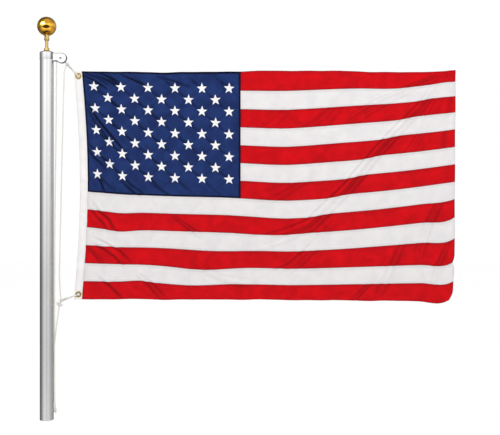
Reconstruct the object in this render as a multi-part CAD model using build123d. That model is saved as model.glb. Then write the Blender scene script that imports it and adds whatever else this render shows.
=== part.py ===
from build123d import *

import os
from math import acos, atan2, cos, pi, sin, sqrt, tan

# A light aluminium flagpole with a cast cap truck, a gilt ball and a sewn flag on a rope halyard.
# Millimetres. The origin is the centre of the pole's foot, +Z runs up the pole, +X runs from the
# pole to the flag's fly end, and the flag is seen from -Y.

# Pole: a drawn tube, open at the foot, where a reamed socket takes the spigot of the next section.
pole_diameter = 54.6
pole_wall = 1.65
pole_length = 1443.0
pole_edge_break = 0.4
socket_depth = 120.0
socket_relief = 0.35

# Truck: a cast cap with a spigot in the pole's bore and a fork that carries the sheave.
spigot_length = 38.0
spigot_clearance = 0.1
spigot_wall = 3.0
cap_lip = 0.7
cap_height = 30.0
cap_rise = 5.5
cap_shoulder = 2.2
cap_boss_radius = 12.5
cap_roof = 7.0
fork_lobe_radius = 20.7
fork_lobe_offset = 3.5
fork_below_axle = 12.0
fork_cheek = 3.5
fork_root = 4.0
fork_edge_radius = 3.2
fork_crook_radius = 2.5
fork_pole_clearance = 0.3

# Sheave and its axle.
sheave_reach = 28.8
sheave_lift = 5.5
sheave_radius = 19.5
sheave_width = 9.0
sheave_side_gap = 0.5
sheave_groove_depth = 5.0
sheave_recess_depth = 1.2
sheave_hub_radius = 7.0
sheave_rim_radius = 12.5
axle_radius = 3.175
axle_clearance = 0.06
axle_head_radius = 4.4
axle_head_height = 1.6

# Ball, its spindle with a collar, and the lock nut under it.
ball_diameter = 76.2
ball_wall = 1.2
ball_lift = 133.5
spindle_radius = 6.35
spindle_clearance = 0.05
spindle_depth_in_cap = 6.0
spindle_length_in_ball = 22.0
collar_radius = 9.6
collar_length = 21.0
collar_ring_radius = 10.6
collar_ring_length = 5.0
collar_ring_lift = 2.5
nut_across_flats = 19.0
nut_height = 11.0
nut_corner_break = 1.2
collar_edge_break = 1.0

# Halyard: one rope in two falls from the sheave, with knots that leave room for what it ties.
rope_diameter = 5.0
rope_groove_gap = 0.3
rope_pole_gap = 0.5
knot_radius = 7.0
knot_length = 17.0
long_knot_length = 34.0
long_knot_lean = 24.0
upper_knot_lean = -17.0
foot_knot_radius = 6.0
foot_knot_length = 26.0
foot_knot_height = 38.0
knot_seat = 2.5
strand_spread = 3.2
upper_knot_reach = 25.2
upper_knot_drop = 23.0
lower_knot_reach = 72.5
lower_knot_drop = 31.5
lower_tie_reach = 4.5
lower_tie_rise = 7.5
strand_skew = 1.5
loop_bend_share = 0.93

# Flag: a canvas header at the hoist, a canton and sewn stripes.
stripe_count = 13
canton_stripes = 7
stripe_height = 70.35
cloth_thickness = 1.5
header_width = 31.0
header_thickness = 2.6
header_bow = 23.5
flag_drop = 46.5
hoist_gap = 82.7
canton_length = 636.0
flag_length = 1497.0
fly_slant = 15.0

# How the cloth hangs: seams sag in mid length and rise at the fly, the lowest ones droop there, and
# the cloth waves front to back.
seam_sag = 30.0
seam_rise = 50.0
risen_share = 0.84
corner_drop = 12.0
lowest_along = 0.62
level_until = 0.55
climb_from = 0.5
fold_depth = 19.0
fold_waves = 1.3
wave_start = 0.2

# Grommets: brass rings that clamp the header.
grommet_hole_radius = 5.25
grommet_radius = 12.0
grommet_barrel_wall = 0.9
grommet_flange = 1.4
grommet_edge_distance = 20.0
grommet_lip_radius = 0.9
strand_grommet_gap = 0.8

# Values that follow from the sizes above.
pole_radius = pole_diameter / 2
bore_radius = pole_radius - pole_wall
socket_radius = bore_radius + socket_relief
spigot_radius = bore_radius - spigot_clearance
cap_radius = pole_radius + cap_lip
cap_top = pole_length + cap_height + cap_rise
sheave_x = cap_radius + sheave_reach
sheave_z = pole_length + sheave_lift
slot_width = sheave_width + 2 * sheave_side_gap
fork_width = slot_width + 2 * fork_cheek
rope_radius = rope_diameter / 2
groove_radius = rope_radius + rope_groove_gap
groove_floor = sheave_radius - sheave_groove_depth
rope_turn_radius = groove_floor + groove_radius
ball_radius = ball_diameter / 2
ball_z = pole_length + ball_lift
collar_seat = ball_z - sqrt(ball_radius**2 - collar_radius**2)
flag_hoist = pole_radius + hoist_gap + header_width
flag_top = pole_length - flag_drop
flag_height = stripe_count * stripe_height
flag_bottom = flag_top - flag_height
canton_right = flag_hoist + canton_length
fly_top = flag_hoist + flag_length
grommet_face = header_thickness / 2 + grommet_flange
strand_offset = grommet_face + rope_radius + strand_grommet_gap


def turned(*points):
    """A solid turned about the Z axis from a closed outline of radius and height."""
    return revolve(Plane.XZ * make_face(Polyline(*points, close=True)), Axis.Z)


def upright(radius, height, z=0):
    """A cylinder on the Z axis that starts at height z."""
    return Pos(0, 0, z) * Cylinder(radius, height, align=(Align.CENTER, Align.CENTER, Align.MIN))


def crosswise(radius, length, x, z):
    """A cylinder along Y, centred on y = 0."""
    return Pos(x, 0, z) * Rot(90, 0, 0) * Cylinder(radius, length)


# Pole

def pole_tube():
    """The drawn tube, with its outer edges broken and its socket reamed."""
    return turned(
        (socket_radius, 0), (pole_radius - pole_edge_break, 0), (pole_radius, pole_edge_break),
        (pole_radius, pole_length - pole_edge_break), (pole_radius - pole_edge_break, pole_length),
        (bore_radius, pole_length), (bore_radius, socket_depth), (socket_radius, socket_depth),
    )


# Truck

def cap():
    """The turned part of the casting: a hollow spigot, the skirt, the roof and the spindle's boss."""
    hollow = spigot_radius - spigot_wall
    roof_under = cap_height - cap_roof
    return Pos(0, 0, pole_length) * turned(
        (hollow, -spigot_length), (spigot_radius, -spigot_length), (spigot_radius, 0), (cap_radius, 0),
        (cap_radius, cap_height - cap_shoulder), (cap_radius - cap_shoulder, cap_height),
        (cap_boss_radius, cap_height + cap_rise), (spindle_radius + spindle_clearance, cap_height + cap_rise),
        (spindle_radius + spindle_clearance, roof_under), (hollow - cap_roof, roof_under),
        (hollow, roof_under - cap_roof),
    )


def fork():
    """The arm that ends in a lobe, split by the sheave's slot, with rounded outer edges."""
    lobe_x = sheave_x + fork_lobe_offset
    arm_start = cap_radius - spigot_wall
    arm_height = fork_below_axle + fork_lobe_radius
    arm = Pos(arm_start, sheave_z - fork_below_axle) * Rectangle(
        lobe_x - arm_start, arm_height, align=(Align.MIN, Align.MIN)
    )
    outline = arm + Pos(lobe_x, sheave_z) * Circle(fork_lobe_radius)
    lobe_side = lobe_x - sqrt(fork_lobe_radius**2 - fork_below_axle**2)
    crook = outline.vertices().sort_by_distance((lobe_side, sheave_z - fork_below_axle, 0))[0]
    outline = fillet(crook, fork_crook_radius)
    block = extrude(Plane.XZ * outline, fork_width / 2, both=True)
    rims = block.faces().filter_by(Axis.Y).edges().filter_by(lambda edge: edge.center().X > arm_start + 1)
    block = fillet(rims, fork_edge_radius)
    slot = Pos(cap_radius + fork_root, 0, sheave_z) * Box(
        4 * sheave_radius, slot_width, 4 * sheave_radius, align=(Align.MIN, Align.CENTER, Align.CENTER)
    )
    below_cap = 2 * fork_lobe_radius
    beside_pole = upright(pole_radius + fork_pole_clearance, below_cap, pole_length - below_cap)
    return block - slot - beside_pole


def truck():
    """The whole casting, with the axle's holes through its cheeks."""
    skirt_space = upright(spigot_radius - spigot_wall, cap_height - 2 * cap_roof, pole_length)
    return cap() + (fork() - skirt_space) - crosswise(axle_radius, 2 * fork_width, sheave_x, sheave_z)


def sheave():
    """The grooved wheel, with a hub, a recessed web on each side and a running bore."""
    half = sheave_width / 2
    web = half - sheave_recess_depth
    bore = axle_radius + axle_clearance
    groove_centre = groove_floor + groove_radius
    lip = (half + groove_radius) / 2
    with BuildLine() as side:
        Polyline(
            (groove_centre, -groove_radius), (sheave_radius, -lip), (sheave_radius, -half),
            (sheave_rim_radius, -half), (sheave_rim_radius, -web), (sheave_hub_radius, -web),
            (sheave_hub_radius, -half), (bore, -half), (bore, half), (sheave_hub_radius, half),
            (sheave_hub_radius, web), (sheave_rim_radius, web), (sheave_rim_radius, half),
            (sheave_radius, half), (sheave_radius, lip), (groove_centre, groove_radius),
        )
        ThreePointArc((groove_centre, groove_radius), (groove_floor, 0), (groove_centre, -groove_radius))
    return Pos(sheave_x, 0, sheave_z) * revolve(make_face(side.line), Axis.Y)


def axle():
    """The pin through the fork, with a domed head on each cheek."""
    dome_radius = (axle_head_radius**2 + axle_head_height**2) / (2 * axle_head_height)
    dome = Pos(0, 0, fork_width / 2 + axle_head_height - dome_radius) * Sphere(dome_radius)
    blank = Pos(0, 0, fork_width / 2) * Cylinder(
        axle_head_radius, axle_head_height, align=(Align.CENTER, Align.CENTER, Align.MIN)
    )
    head = blank & dome
    pin = Cylinder(axle_radius, fork_width) + head + Rot(180, 0, 0) * head
    return Pos(sheave_x, 0, sheave_z) * Rot(90, 0, 0) * pin


# Ball

def ball():
    """The spun ball: a thin shell with a hole at the bottom for the spindle."""
    shell = Sphere(ball_radius) - Sphere(ball_radius - ball_wall)
    hole = Cylinder(
        spindle_radius + spindle_clearance, ball_diameter, align=(Align.CENTER, Align.CENTER, Align.MAX)
    )
    return Pos(0, 0, ball_z) * (shell - hole)


def spindle():
    """The rod from the truck into the ball."""
    foot = cap_top - spindle_depth_in_cap
    top = ball_z - ball_radius + spindle_length_in_ball
    return upright(spindle_radius, top - foot, foot)


def collar():
    """The turned collar on the spindle, with a ring at its foot and a seat for the ball."""
    foot = collar_seat - collar_length
    ring_foot = foot + collar_ring_lift
    ring_top = ring_foot + collar_ring_length
    ring_round = collar_ring_length / 4
    bore = spindle_radius + spindle_clearance
    blank = turned(
        (bore, foot), (collar_radius - collar_edge_break, foot),
        (collar_radius, foot + collar_edge_break), (collar_radius, ring_foot),
        (collar_ring_radius, ring_foot + ring_round), (collar_ring_radius, ring_top - ring_round),
        (collar_radius, ring_top), (collar_radius, ball_z - ball_radius / 2), (bore, ball_z - ball_radius / 2),
    )
    return blank - Pos(0, 0, ball_z) * Sphere(ball_radius)


def lock_nut():
    """The hexagon nut that locks the spindle on the truck's boss."""
    corner = nut_across_flats / sqrt(3)
    hexagon = extrude(RegularPolygon(nut_across_flats / 2, 6, major_radius=False), nut_height)
    blank = upright(corner, nut_height)
    blank = chamfer(blank.edges().filter_by(GeomType.CIRCLE), nut_corner_break)
    return Pos(0, 0, cap_top) * (hexagon & blank - upright(spindle_radius + spindle_clearance, nut_height))


# Flag

def hoist_x(share):
    """The place of the seam between header and cloth, which bows towards the fly."""
    return flag_hoist + header_bow * sin(pi * share)


def fly_x(share):
    """The fly edge's place at this share of the flag's height."""
    return fly_top - fly_slant * share**2


def fly_lift(share):
    """How far a seam ends above level at the fly; the lowest ones end a little below it."""
    if share < risen_share:
        return seam_rise * (1 - (2 * share / risen_share - 1) ** 4)
    return -corner_drop * (share - risen_share) / (1 - risen_share)


def seam_lift(share, along):
    """How far a seam lies above level: it sags in mid length and then climbs to the fly."""
    sag = seam_sag * max(sin(pi * share), 0) ** 0.6
    fall = sin(pi * min(along / lowest_along, 1) / 2) ** 2
    dip = fall * (1 - max(along - level_until, 0) / (1 - level_until))
    climb = max((along - climb_from) / (1 - climb_from), 0) ** 1.5
    return fly_lift(share) * climb - sag * dip


def wave(along):
    """How far the cloth stands back from the header's plane, along its length from header to fly."""
    return fold_depth * sin(2 * pi * fold_waves * along) * min(along / wave_start, 1) ** 0.6


def seam(index):
    """The seam above one stripe, counted from 0 at the flag's top edge, from hoist to fly."""
    share = index / stripe_count
    level = flag_top - index * stripe_height
    start, end = hoist_x(share), fly_x(share)
    stations = (0, 0.2, 0.4, 0.6, 0.8, 1)
    return Spline(*[(start + (end - start) * s, level + seam_lift(share, s)) for s in stations])


def cloth_sheet():
    """The whole cloth as one wavy sheet, wider and taller than the flag, before it is cut."""
    hoist = flag_hoist - header_width
    flat_end = flag_hoist + header_bow
    length = fly_top - flat_end
    stations = [0.04 + 0.08 * number for number in range(13)]

    def side(offset):
        bends = [(flat_end + length * along, wave(along) + offset) for along in stations]
        return [Line((hoist, offset), (flat_end, offset)),
                Spline((flat_end, offset), *bends, tangents=((1, 0), Vector(*bends[-1]) - Vector(*bends[-2])))]

    front, back = side(-cloth_thickness / 2), side(cloth_thickness / 2)
    ends = Line(front[0] @ 0, back[0] @ 0), Line(front[1] @ 1, back[1] @ 1)
    outline = make_face([*front, *back, *ends])
    return Pos(0, 0, flag_bottom - 2 * seam_rise) * extrude(outline, flag_height + 4 * seam_rise)


def cut_between(sheet, upper, lower, left=None, right=None):
    """The part of the sheet between two seams, and between two upright lines where they are given."""
    above, below = seam(upper), seam(lower)
    hoist = [(hoist_x(k / stripe_count), flag_top - k * stripe_height) for k in range(upper, lower + 1)]
    hoist_edge = Polyline(*hoist) if len(hoist) > 2 else Line(*hoist)
    window = make_face([above, Line(above @ 1, below @ 1), below, hoist_edge])
    middle = (flag_top + flag_bottom) / 2
    if left is not None:
        window &= Pos(left, middle) * Rectangle(2 * fly_top, 2 * flag_height, align=(Align.MIN, Align.CENTER))
    if right is not None:
        window &= Pos(right, middle) * Rectangle(2 * fly_top, 2 * flag_height, align=(Align.MAX, Align.CENTER))
    return sheet & extrude(Plane.XZ * window, 4 * fold_depth, both=True)


def header():
    """The canvas band at the hoist, with a hole for each grommet."""
    edge = [(hoist_x(k / stripe_count), flag_top - k * stripe_height) for k in range(stripe_count + 1)]
    outer = [(x - header_width, z) for x, z in reversed(edge)]
    band = extrude(Plane.XZ * make_face(Polyline(*edge, *outer, close=True)), header_thickness / 2, both=True)
    for x, z in grommet_places():
        band -= crosswise(grommet_hole_radius + grommet_barrel_wall, 2 * header_thickness, x, z)
    return band


def grommet_places():
    """The centres of the top and the bottom grommet, in the middle of the header's width."""
    places = []
    for z in (flag_top - grommet_edge_distance, flag_bottom + grommet_edge_distance):
        share = (flag_top - z) / flag_height
        places.append((hoist_x(share) - header_width / 2, z))
    return places


def grommet(place):
    """A brass ring: a barrel through the header and a flange with a rounded rim on each face."""
    x, z = place
    barrel = grommet_hole_radius + grommet_barrel_wall
    ring = Cylinder(grommet_radius, 2 * grommet_face) - Cylinder(barrel, 2 * grommet_face)
    ring -= Cylinder(2 * grommet_radius, header_thickness)
    ring = fillet(
        ring.edges().filter_by(GeomType.CIRCLE).filter_by(
            lambda edge: edge.radius > barrel and abs(edge.center().Z) > grommet_face - 0.01
        ), grommet_lip_radius,
    )
    ring += Cylinder(barrel, 2 * grommet_face) - Cylinder(grommet_hole_radius, 2 * grommet_face)
    return Pos(x, 0, z) * Rot(90, 0, 0) * ring


# Halyard

def rope(name, corners, radii):
    """A rope along straight runs with an arc at each corner."""
    path = FilletPolyline(*corners, radius=radii)
    start = Plane(origin=corners[0], z_dir=path % 0)
    tube = sweep(start * Circle(rope_radius), path=path)
    share = tube.volume / (pi * rope_radius**2 * path.length)
    print(name, "length", round(path.length), "volume", round(share, 4))
    return tube


def knot(centre, radius, length, lean=0):
    """A drawn-up knot: a rounded barrel, leaning from upright in the plane of the flag."""
    barrel = Cylinder(radius, length)
    barrel = fillet(barrel.edges(), radius * 0.8)
    return Pos(*centre) * Rot(0, lean, 0) * barrel


# Where the knots are. The upper one hangs under the sheave, the lower one beside the bottom grommet.
upper_knot_place = (sheave_x + upper_knot_reach, 0, sheave_z - upper_knot_drop)
foot_knot_place = (pole_radius + foot_knot_radius + rope_pole_gap, 0, foot_knot_height)

# Each route is a list of corners: X, Y and the distance from one end of the fall.
# The free fall, from the foot knot up: heights above the foot, then drops below the sheave.
free_fall_foot = [(33.6, 2.7, 47), (31.6, 3.2, 66), (30.6, 3.6, 100), (30.4, 3.2, 165), (30.3, 3.7, 290)]
free_fall_top = [
    (30.7, 2.9, 928), (31.4, 3.1, 688), (34.6, 1.8, 458), (37.3, 1.0, 288), (38.5, 0.4, 163),
    (39.2, 0.2, 88), (39.3, 0.1, 48), (39.5, 0, 23),
]
# The fall along the flag: drops below the upper knot, then heights above the lower one.
flag_fall_top = [
    (78.5, 0, 4.5), (73.2, -0.2, 17.5), (70.2, -0.4, 39.5), (68.7, -0.2, 80.5), (66.8, 0.3, 145.5),
    (64.3, 0.2, 245.5), (61.0, -0.4, 385.5), (58.2, -0.2, 525.5),
]
flag_fall_foot = [(54.2, 0.3, 279.5), (51.6, 0.2, 169.5), (50.9, 0, 94.5), (53.2, -0.1, 49.5), (57.0, 0, 18)]
# The fall from the lower knot to the foot knot: drops below the one, then heights above the foot.
tail_fall_top = [(49.3, 0, 18.5), (47.4, -0.2, 38.5), (42.8, -1.2, 70.5), (36.6, -2.6, 120.5)]
tail_fall_foot = [(31.3, -3.2, 290), (30.4, -3.4, 200), (30.6, -3.2, 120), (31.2, -3.5, 78), (33.6, -2.7, 47)]


def below(height, drops):
    """The corners of a route that are given as drops below a height."""
    return [(x, y, height - drop) for x, y, drop in drops]


def above(height, rises):
    """The corners of a route that are given as rises above a height."""
    return [(x, y, height + rise) for x, y, rise in rises]


def over_sheave(leave, corner_count=4):
    """The corners of the rope's path over the sheave, from upright on the left to the leaving angle."""
    step = (pi - leave) / corner_count
    reach = rope_turn_radius / cos(step / 2)
    angles = [pi - step * (number + 0.5) for number in range(corner_count)]
    return [(sheave_x + reach * cos(angle), 0, sheave_z + reach * sin(angle)) for angle in angles]


def leaving_angle(target):
    """Where on the sheave a rope pulled towards the target point leaves it."""
    across, up = target[0] - sheave_x, target[2] - sheave_z
    return atan2(up, across) + acos(rope_turn_radius / sqrt(across**2 + up**2))


def knotted_loop(knot_centre, hole):
    """The corners of a loop from a knot through a grommet and back, in front of and behind the header."""
    along = Vector(hole[0] - knot_centre[0], 0, hole[1] - knot_centre[2]).normalized()
    beside = Vector(-along.Z, 0, along.X) * strand_skew
    start = Vector(*knot_centre) + along * (knot_radius - knot_seat)
    front, back = Vector(0, -strand_spread, 0), Vector(0, strand_spread, 0)
    through = Vector(hole[0], 0, hole[1])
    return [
        start + front + beside, through + Vector(0, -strand_offset, 0),
        through + Vector(0, strand_offset, 0), start + back - beside,
    ]


def largest_radii(points):
    """The largest arc at each corner of a route that its two runs allow."""
    points = [Vector(*point) for point in points]
    radii = []
    for before, here, after in zip(points, points[1:], points[2:]):
        turn = (here - before).get_angle(after - here) * pi / 180
        radii.append(0.45 * min((here - before).length, (after - here).length) / tan(turn / 2))
    return radii


def halyard():
    """Every piece of rope, and the knots cut to take the ropes that end in them."""
    top_hole, bottom_hole = grommet_places()
    lower_knot_x, lower_knot_z = bottom_hole[0] - lower_knot_reach, bottom_hole[1] - lower_knot_drop
    lower_knot_place = (lower_knot_x, 0, lower_knot_z)
    lower_knot_tie = (lower_knot_x + lower_tie_reach, 0, lower_knot_z + lower_tie_rise)

    corners = over_sheave(leaving_angle(upper_knot_place))
    pull = (Vector(*upper_knot_place) - Vector(*corners[-1])).normalized()
    end = Vector(*upper_knot_place) - pull * (knot_length / 2 - knot_seat)
    fall = above(0, free_fall_foot) + below(sheave_z, free_fall_top)
    running = fall + corners + [(end.X, end.Y, end.Z)]
    radii = largest_radii(running)
    radii[-len(corners):] = [rope_turn_radius - 0.1] * len(corners)

    flag_fall = below(upper_knot_place[2], flag_fall_top) + above(lower_knot_place[2], flag_fall_foot)
    tail_fall = below(lower_knot_place[2], tail_fall_top) + above(0, tail_fall_foot)
    loop_radii = [strand_offset * loop_bend_share] * 2
    routes = {
        "halyard_over_sheave": (running, radii),
        "halyard_flag_fall": (flag_fall, largest_radii(flag_fall)),
        "halyard_tail_fall": (tail_fall, largest_radii(tail_fall)),
        "halyard_top_loop": (knotted_loop(upper_knot_place, top_hole), loop_radii),
        "halyard_bottom_loop": (knotted_loop(lower_knot_tie, bottom_hole), loop_radii),
    }
    ropes = {name: rope(name, *route) for name, route in routes.items()}
    knots = {
        "halyard_upper_knot": knot(upper_knot_place, knot_radius, knot_length, upper_knot_lean),
        "halyard_lower_knot": knot(lower_knot_place, knot_radius, long_knot_length, long_knot_lean),
        "halyard_foot_knot": knot(foot_knot_place, foot_knot_radius, foot_knot_length),
    }
    for name, solid in knots.items():
        for tube in ropes.values():
            solid = solid - tube
        knots[name] = solid
    return {**ropes, **knots}


def flag():
    """The header, the grommets, the canton and the stripes, cut from one hanging sheet."""
    sheet = cloth_sheet()
    top_place, bottom_place = grommet_places()
    pieces = {
        "header": header(), "grommet_top": grommet(top_place), "grommet_bottom": grommet(bottom_place),
        "canton": cut_between(sheet, 0, canton_stripes, right=canton_right),
    }
    for number in range(stripe_count):
        left = canton_right if number < canton_stripes else None
        pieces[f"stripe_{number + 1:02d}"] = cut_between(sheet, number, number + 1, left=left)
    return pieces


parts = {
    "pole_tube": pole_tube(), "truck": truck(), "sheave": sheave(), "axle": axle(), "lock_nut": lock_nut(),
    "spindle": spindle(), "collar": collar(), "ball": ball(), **flag(), **halyard(),
}

os.makedirs("parts", exist_ok=True)
for name, shape in parts.items():
    export_step(shape, f"parts/{name}.step")
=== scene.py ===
import math
import random
from functools import partial

import bmesh
import bpy
import numpy as np
from bpy.props import FloatProperty, PointerProperty, StringProperty
from mathutils import Matrix, Vector


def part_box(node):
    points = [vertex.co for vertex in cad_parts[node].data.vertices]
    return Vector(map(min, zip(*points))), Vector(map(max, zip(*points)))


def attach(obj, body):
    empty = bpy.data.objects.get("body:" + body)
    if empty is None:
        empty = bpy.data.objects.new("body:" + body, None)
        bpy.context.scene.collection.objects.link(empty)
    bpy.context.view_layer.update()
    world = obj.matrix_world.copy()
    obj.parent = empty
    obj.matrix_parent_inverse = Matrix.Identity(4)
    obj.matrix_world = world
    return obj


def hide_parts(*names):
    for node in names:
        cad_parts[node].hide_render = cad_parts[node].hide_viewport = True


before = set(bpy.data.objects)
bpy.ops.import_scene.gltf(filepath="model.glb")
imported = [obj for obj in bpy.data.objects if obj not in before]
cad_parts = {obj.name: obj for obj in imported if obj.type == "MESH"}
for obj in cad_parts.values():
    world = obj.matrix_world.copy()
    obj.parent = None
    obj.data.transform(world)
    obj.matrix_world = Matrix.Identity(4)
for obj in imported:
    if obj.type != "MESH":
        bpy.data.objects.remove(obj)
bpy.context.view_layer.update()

bl_info = {
    "name": "Flagpole with sewn flag",
    "version": (1, 0, 0),
    "blender": (4, 5, 0),
    "location": "View3D > Sidebar > Flagpole",
    "description": "Finishes, cloth, rope and trim for an aluminium flagpole section",
    "category": "Object",
}

MM = 0.001
MAST = "mast"
SHARP_ANGLE = math.radians(28)

# Places read from the parts of model.glb.
pole_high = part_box("pole_tube")[1]
sheave_low, sheave_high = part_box("sheave")
POLE_RADIUS = pole_high.x
SHEAVE_CENTRE = (sheave_low + sheave_high) / 2

# The flag as it was cut, from the same driving sizes as the solid model.
STRIPE_COUNT = 13
CANTON_STRIPES = 7
STRIPE_HEIGHT = 70.35 * MM
FLAG_HEIGHT = STRIPE_COUNT * STRIPE_HEIGHT
FLAG_LENGTH = 1497 * MM
CANTON_LENGTH = 636 * MM
HEADER_WIDTH = 31 * MM
FLAG_TOP = pole_high.z - 46.5 * MM
FLAG_HOIST = POLE_RADIUS + 82.7 * MM + HEADER_WIDTH
GROMMET_EDGE = 20 * MM
SEAM_BAND = 9 * MM
STITCH_LENGTH = 2.6 * MM
STITCH_HALF_WIDTH = 0.35 * MM
HEADER_THICKNESS = 2.2 * MM
UNDER_GROMMET = 8 * MM
CLOTH_STEP = 3.9 * MM
CANTON_STEP = 3 * MM

# How it hangs.
HEADER_BOW = 23.5 * MM
FLY_SLANT = 15 * MM
SEAM_SAG = 30 * MM
SEAM_RISE = 50 * MM
RISEN_SHARE = 0.84
CORNER_DROP = 12 * MM
LOWEST_ALONG = 0.62
LEVEL_UNTIL = 0.55
CLIMB_FROM = 0.5
HOIST_LIFT = 9.5 * MM
CORNER_LIFT = 8 * MM
MIDDLE_LIFT = 6 * MM
FLY_EASE = 6 * MM
CORNER_DENT = 8 * MM
LOW_SLACK = 15 * MM
HOIST_SLACK = 10 * MM
LOW_LIFT = 6 * MM
FLY_TIP = 7 * MM
FLY_CURL = 55 * MM
DARKEST_FOLD = 4 * MM
BAND_STEP = 5 * MM
QUILTING = 2.4 * MM
HEM_CURL = 2.5 * MM
FOLD_DEPTH = 19 * MM
FOLD_WAVES = 1.3
WAVE_START = 0.2

# The stars stand in nine rows, six and five in turn.
STAR_ROWS = 9
STAR_MARGIN = 44 * MM
STAR_TOP = 61.8 * MM
STAR_STEP = 54.6 * MM
STAR_ROW = 44.6 * MM
STAR_INNER_SHARE = 0.42
STAR_RIDGE = 1.0 * MM
STAR_RIM = 0.35 * MM

# The rope and its braid.
ROPE_RADIUS = 2.5 * MM
ROPE_SIDES = 24
RING_GAP = 1.0 * MM
STRANDS = 6
STRAND_PITCH = 4.2 * MM
STRAND_RELIEF = 0.22 * MM


def linear(hex_colour):
    """An sRGB hex colour as linear red, green, blue and alpha."""
    channels = [int(hex_colour[i:i + 2], 16) / 255 for i in (1, 3, 5)]
    return [c / 12.92 if c <= 0.04045 else ((c + 0.055) / 1.055) ** 2.4 for c in channels] + [1.0]


# Shape of the hanging cloth. Across runs from the header to the fly and down from the top edge;
# along and share are the same as shares of the flag's length and height.

def unit_rows(rows):
    return rows / np.linalg.norm(rows, axis=1)[:, None]


def hump(value, centre, width):
    return np.exp(-((value - centre) / width) ** 2)


def past(value, start, span):
    """How many spans a value lies past a start, and 0 before it."""
    return np.maximum((value - start) / span, 0)


def fly_lift(share):
    risen = SEAM_RISE * (1 - (2 * share / RISEN_SHARE - 1) ** 4)
    drooped = -CORNER_DROP * (share - RISEN_SHARE) / (1 - RISEN_SHARE)
    return np.where(share < RISEN_SHARE, risen, drooped)


def seam_lift(share, along):
    """How far the cloth hangs above or below its level, as the seams show."""
    belly = np.maximum(np.sin(np.pi * share), 0)
    sag = SEAM_SAG * belly**0.6
    fall = np.sin(np.pi * np.minimum(along / LOWEST_ALONG, 1) / 2) ** 2
    dip = fall * (1 - past(along, LEVEL_UNTIL, 1 - LEVEL_UNTIL))
    climb = past(along, CLIMB_FROM, 1 - CLIMB_FROM) ** 1.5
    held = belly * HOIST_LIFT * np.maximum(1 - along / 0.13, 0) ** 1.5
    held += belly * MIDDLE_LIFT * hump(along, 0.4, 0.12)
    corner = CORNER_LIFT * np.maximum(1 - share / 0.12, 0) * past(along, 0.8, 0.2) ** 2
    corner -= CORNER_DENT * hump(along, 0.83, 0.07) * hump(share, 0.077, 0.06)
    slack = LOW_SLACK * hump(along + 0.4 * (share - 0.75), 0.36, 0.09) * hump(share, 0.86, 0.105)
    slack += HOIST_SLACK * hump(along, 0.095, 0.045) * hump(share, 0.67, 0.075)
    slack -= LOW_LIFT * hump(along, 0.15, 0.035) * hump(share, 0.92, 0.05)
    near_fly = past(along, 0.91, 0.09)
    curl = FLY_TIP * near_fly**4 - FLY_CURL * near_fly**2 * (1 - near_fly)
    curl *= np.clip((share - 0.55) / 0.14, 0, 1)
    return fly_lift(share) * climb - sag * dip + held + corner - slack + curl


def hoist_x(share):
    return FLAG_HOIST + HEADER_BOW * np.sin(np.pi * share)


def fly_x(share):
    """The fly edge: it slants, and its hem rolls back under the lowest red stripes."""
    rolled = 15 * MM * past(share, 0.955, 0.045) ** 2 + 7 * MM * hump(share, 11 / STRIPE_COUNT, 0.012)
    slant = FLY_SLANT * (0.35 * share + 0.5 * past(share, 0.84, 0.16))
    return FLAG_HOIST + FLAG_LENGTH + FLY_EASE - slant - rolled


def wave(along):
    """The broad wave that the cloth makes from the hoist to the fly."""
    ramp = np.minimum(np.maximum(along, 0) / WAVE_START, 1) ** 0.6
    return FOLD_DEPTH * np.sin(2 * np.pi * FOLD_WAVES * along) * ramp


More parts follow.
